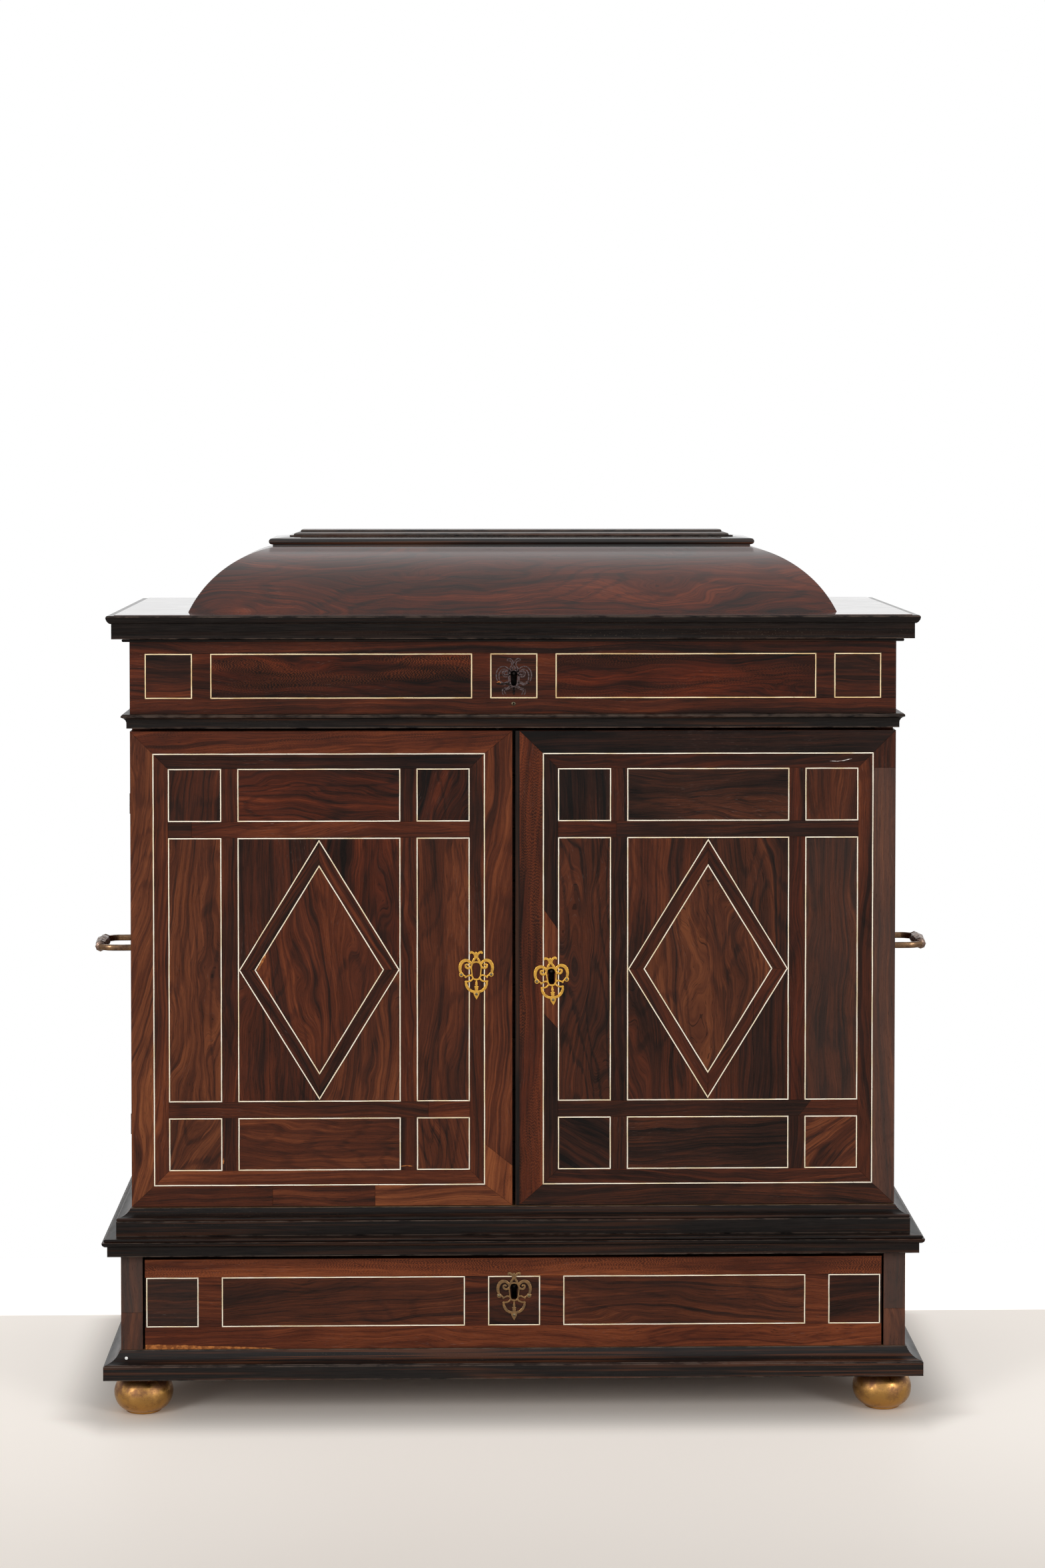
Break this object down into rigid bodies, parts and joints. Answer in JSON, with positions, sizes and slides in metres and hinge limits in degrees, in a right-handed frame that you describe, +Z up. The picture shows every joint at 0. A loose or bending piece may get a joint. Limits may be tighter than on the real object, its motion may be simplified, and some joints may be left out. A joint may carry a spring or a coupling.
{
  "type": "coin cabinet",
  "caption": "Table-top coin cabinet with a hinged coved lid over a till, two inlaid doors hiding shallow drawers, a long base drawer, bun feet and side bail handles.",
  "frame": {"origin": "on the floor under the middle of the overall width and depth", "axes": "+X to the right as the doors are faced, -Y out of the doors, +Z up"},
  "size_m": [0.8562, 0.353, 0.8668],
  "materials": {
    "gilt_brass": "worn gilding",
    "rosewood": "polished veneer",
    "carcass_wood": "planed and waxed",
    "black_wood": "ebonised, semi-gloss",
    "bone": "polished flush",
    "iron": "dark forged",
    "steel": "filed bright, worn",
    "brass": "gilt, aged",
    "bronze": "brown patina"
  },
  "bodies": {
    "case": {"bun_feet": "gilt_brass", "base_board": "carcass_wood", "base_moulding": "black_wood", "plinth_sides": "rosewood", "plinth_back": "carcass_wood", "dust_board": "carcass_wood", "plinth_cornice": "black_wood", "step_moulding": "black_wood", "case_floor": "carcass_wood", "case_ceiling": "carcass_wood", "case_back": "carcass_wood", "case_side_left": "rosewood", "case_side_right": "rosewood", "coin_drawer_runners": "carcass_wood", "waist_moulding": "black_wood", "frieze_front": "rosewood", "frieze_stringing": "bone", "frieze_sides": "rosewood", "frieze_bead": "black_wood", "hinge_case_halves": "iron", "till_lock": "iron", "handle_posts": "bronze"},
    "left_door": {"door_left": "rosewood", "door_left_stringing": "bone", "door_left_escutcheon": "brass", "door_left_hinge_halves": "iron", "slide_bolt_guides": "iron"},
    "right_door": {"door_right": "rosewood", "door_right_stringing": "bone", "door_right_escutcheon": "brass", "door_right_hinge_halves": "iron", "door_lock": "iron", "door_right_edge_strip": "black_wood"},
    "lid": {"lid_board": "rosewood", "lid_cornice": "black_wood", "lid_dome": "rosewood", "lid_cap": "black_wood", "lid_hinge_halves": "iron", "lid_staple": "iron"},
    "base_drawer": {"drawer_front": "rosewood", "drawer_stringing": "bone", "drawer_sides_and_back": "carcass_wood", "drawer_bottom": "carcass_wood", "drawer_escutcheon": "brass", "drawer_lock": "iron"},
    "left_bail": {"bail_left": "bronze"},
    "right_bail": {"bail_right": "bronze"},
    "slide_bolt": {"door_left_slide_bolt": "steel"},
    "door_bolt": {"door_lock_bolt": "steel"},
    "drawer_bolt": {"drawer_lock_bolt": "steel"},
    "till_bolt": {"till_lock_bolt": "steel"},
    "coin_drawer_1": {"coin_drawer_1": "carcass_wood"},
    "coin_drawer_2": {"coin_drawer_2": "carcass_wood"},
    "coin_drawer_3": {"coin_drawer_3": "carcass_wood"},
    "coin_drawer_4": {"coin_drawer_4": "carcass_wood"},
    "coin_drawer_5": {"coin_drawer_5": "carcass_wood"},
    "coin_drawer_6": {"coin_drawer_6": "carcass_wood"},
    "coin_drawer_7": {"coin_drawer_7": "carcass_wood"},
    "coin_drawer_8": {"coin_drawer_8": "carcass_wood"},
    "coin_drawer_9": {"coin_drawer_9": "carcass_wood"}
  },
  "joints": [
    {"name": "left_door_hinge", "type": "hinge", "parent": "case", "child": "left_door", "pos_m": [-0.3766, -0.12935, 0.4385], "axis": [0, 0, -1], "range_deg": [0, 170]},
    {"name": "right_door_hinge", "type": "hinge", "parent": "case", "child": "right_door", "pos_m": [0.3766, -0.12935, 0.4385], "axis": [0, 0, 1], "range_deg": [0, 170]},
    {"name": "lid_hinge", "type": "hinge", "parent": "case", "child": "lid", "pos_m": [0, 0.1735, 0.76415], "axis": [-1, 0, 0], "range_deg": [0, 100]},
    {"name": "base_drawer_slide", "type": "slide", "parent": "case", "child": "base_drawer", "axis": [0, -1, 0], "range_m": [0, 0.22]},
    {"name": "left_bail_pivot", "type": "hinge", "parent": "case", "child": "left_bail", "pos_m": [-0.385, 0, 0.441], "axis": [0, -1, 0], "range_deg": [-88, 88]},
    {"name": "right_bail_pivot", "type": "hinge", "parent": "case", "child": "right_bail", "pos_m": [0.385, 0, 0.441], "axis": [0, 1, 0], "range_deg": [-88, 88]},
    {"name": "slide_bolt_slide", "type": "slide", "parent": "left_door", "child": "slide_bolt", "axis": [0, 0, 1], "range_m": [0, 0.01]},
    {"name": "door_lock_bolt_slide", "type": "slide", "parent": "right_door", "child": "door_bolt", "axis": [-1, 0, 0], "range_m": [0, 0.008]},
    {"name": "drawer_lock_bolt_slide", "type": "slide", "parent": "base_drawer", "child": "drawer_bolt", "axis": [0, 0, 1], "range_m": [0, 0.011]},
    {"name": "till_lock_bolt_slide", "type": "slide", "parent": "case", "child": "till_bolt", "axis": [-1, 0, 0], "range_m": [0, 0.008]},
    {"name": "coin_drawer_1_slide", "type": "slide", "parent": "case", "child": "coin_drawer_1", "axis": [0, -1, 0], "range_m": [0, 0.015]},
    {"name": "coin_drawer_2_slide", "type": "slide", "parent": "case", "child": "coin_drawer_2", "axis": [0, -1, 0], "range_m": [0, 0.015]},
    {"name": "coin_drawer_3_slide", "type": "slide", "parent": "case", "child": "coin_drawer_3", "axis": [0, -1, 0], "range_m": [0, 0.015]},
    {"name": "coin_drawer_4_slide", "type": "slide", "parent": "case", "child": "coin_drawer_4", "axis": [0, -1, 0], "range_m": [0, 0.015]},
    {"name": "coin_drawer_5_slide", "type": "slide", "parent": "case", "child": "coin_drawer_5", "axis": [0, -1, 0], "range_m": [0, 0.015]},
    {"name": "coin_drawer_6_slide", "type": "slide", "parent": "case", "child": "coin_drawer_6", "axis": [0, -1, 0], "range_m": [0, 0.015]},
    {"name": "coin_drawer_7_slide", "type": "slide", "parent": "case", "child": "coin_drawer_7", "axis": [0, -1, 0], "range_m": [0, 0.015]},
    {"name": "coin_drawer_8_slide", "type": "slide", "parent": "case", "child": "coin_drawer_8", "axis": [0, -1, 0], "range_m": [0, 0.015]},
    {"name": "coin_drawer_9_slide", "type": "slide", "parent": "case", "child": "coin_drawer_9", "axis": [0, -1, 0], "range_m": [0, 0.015]}
  ]
}
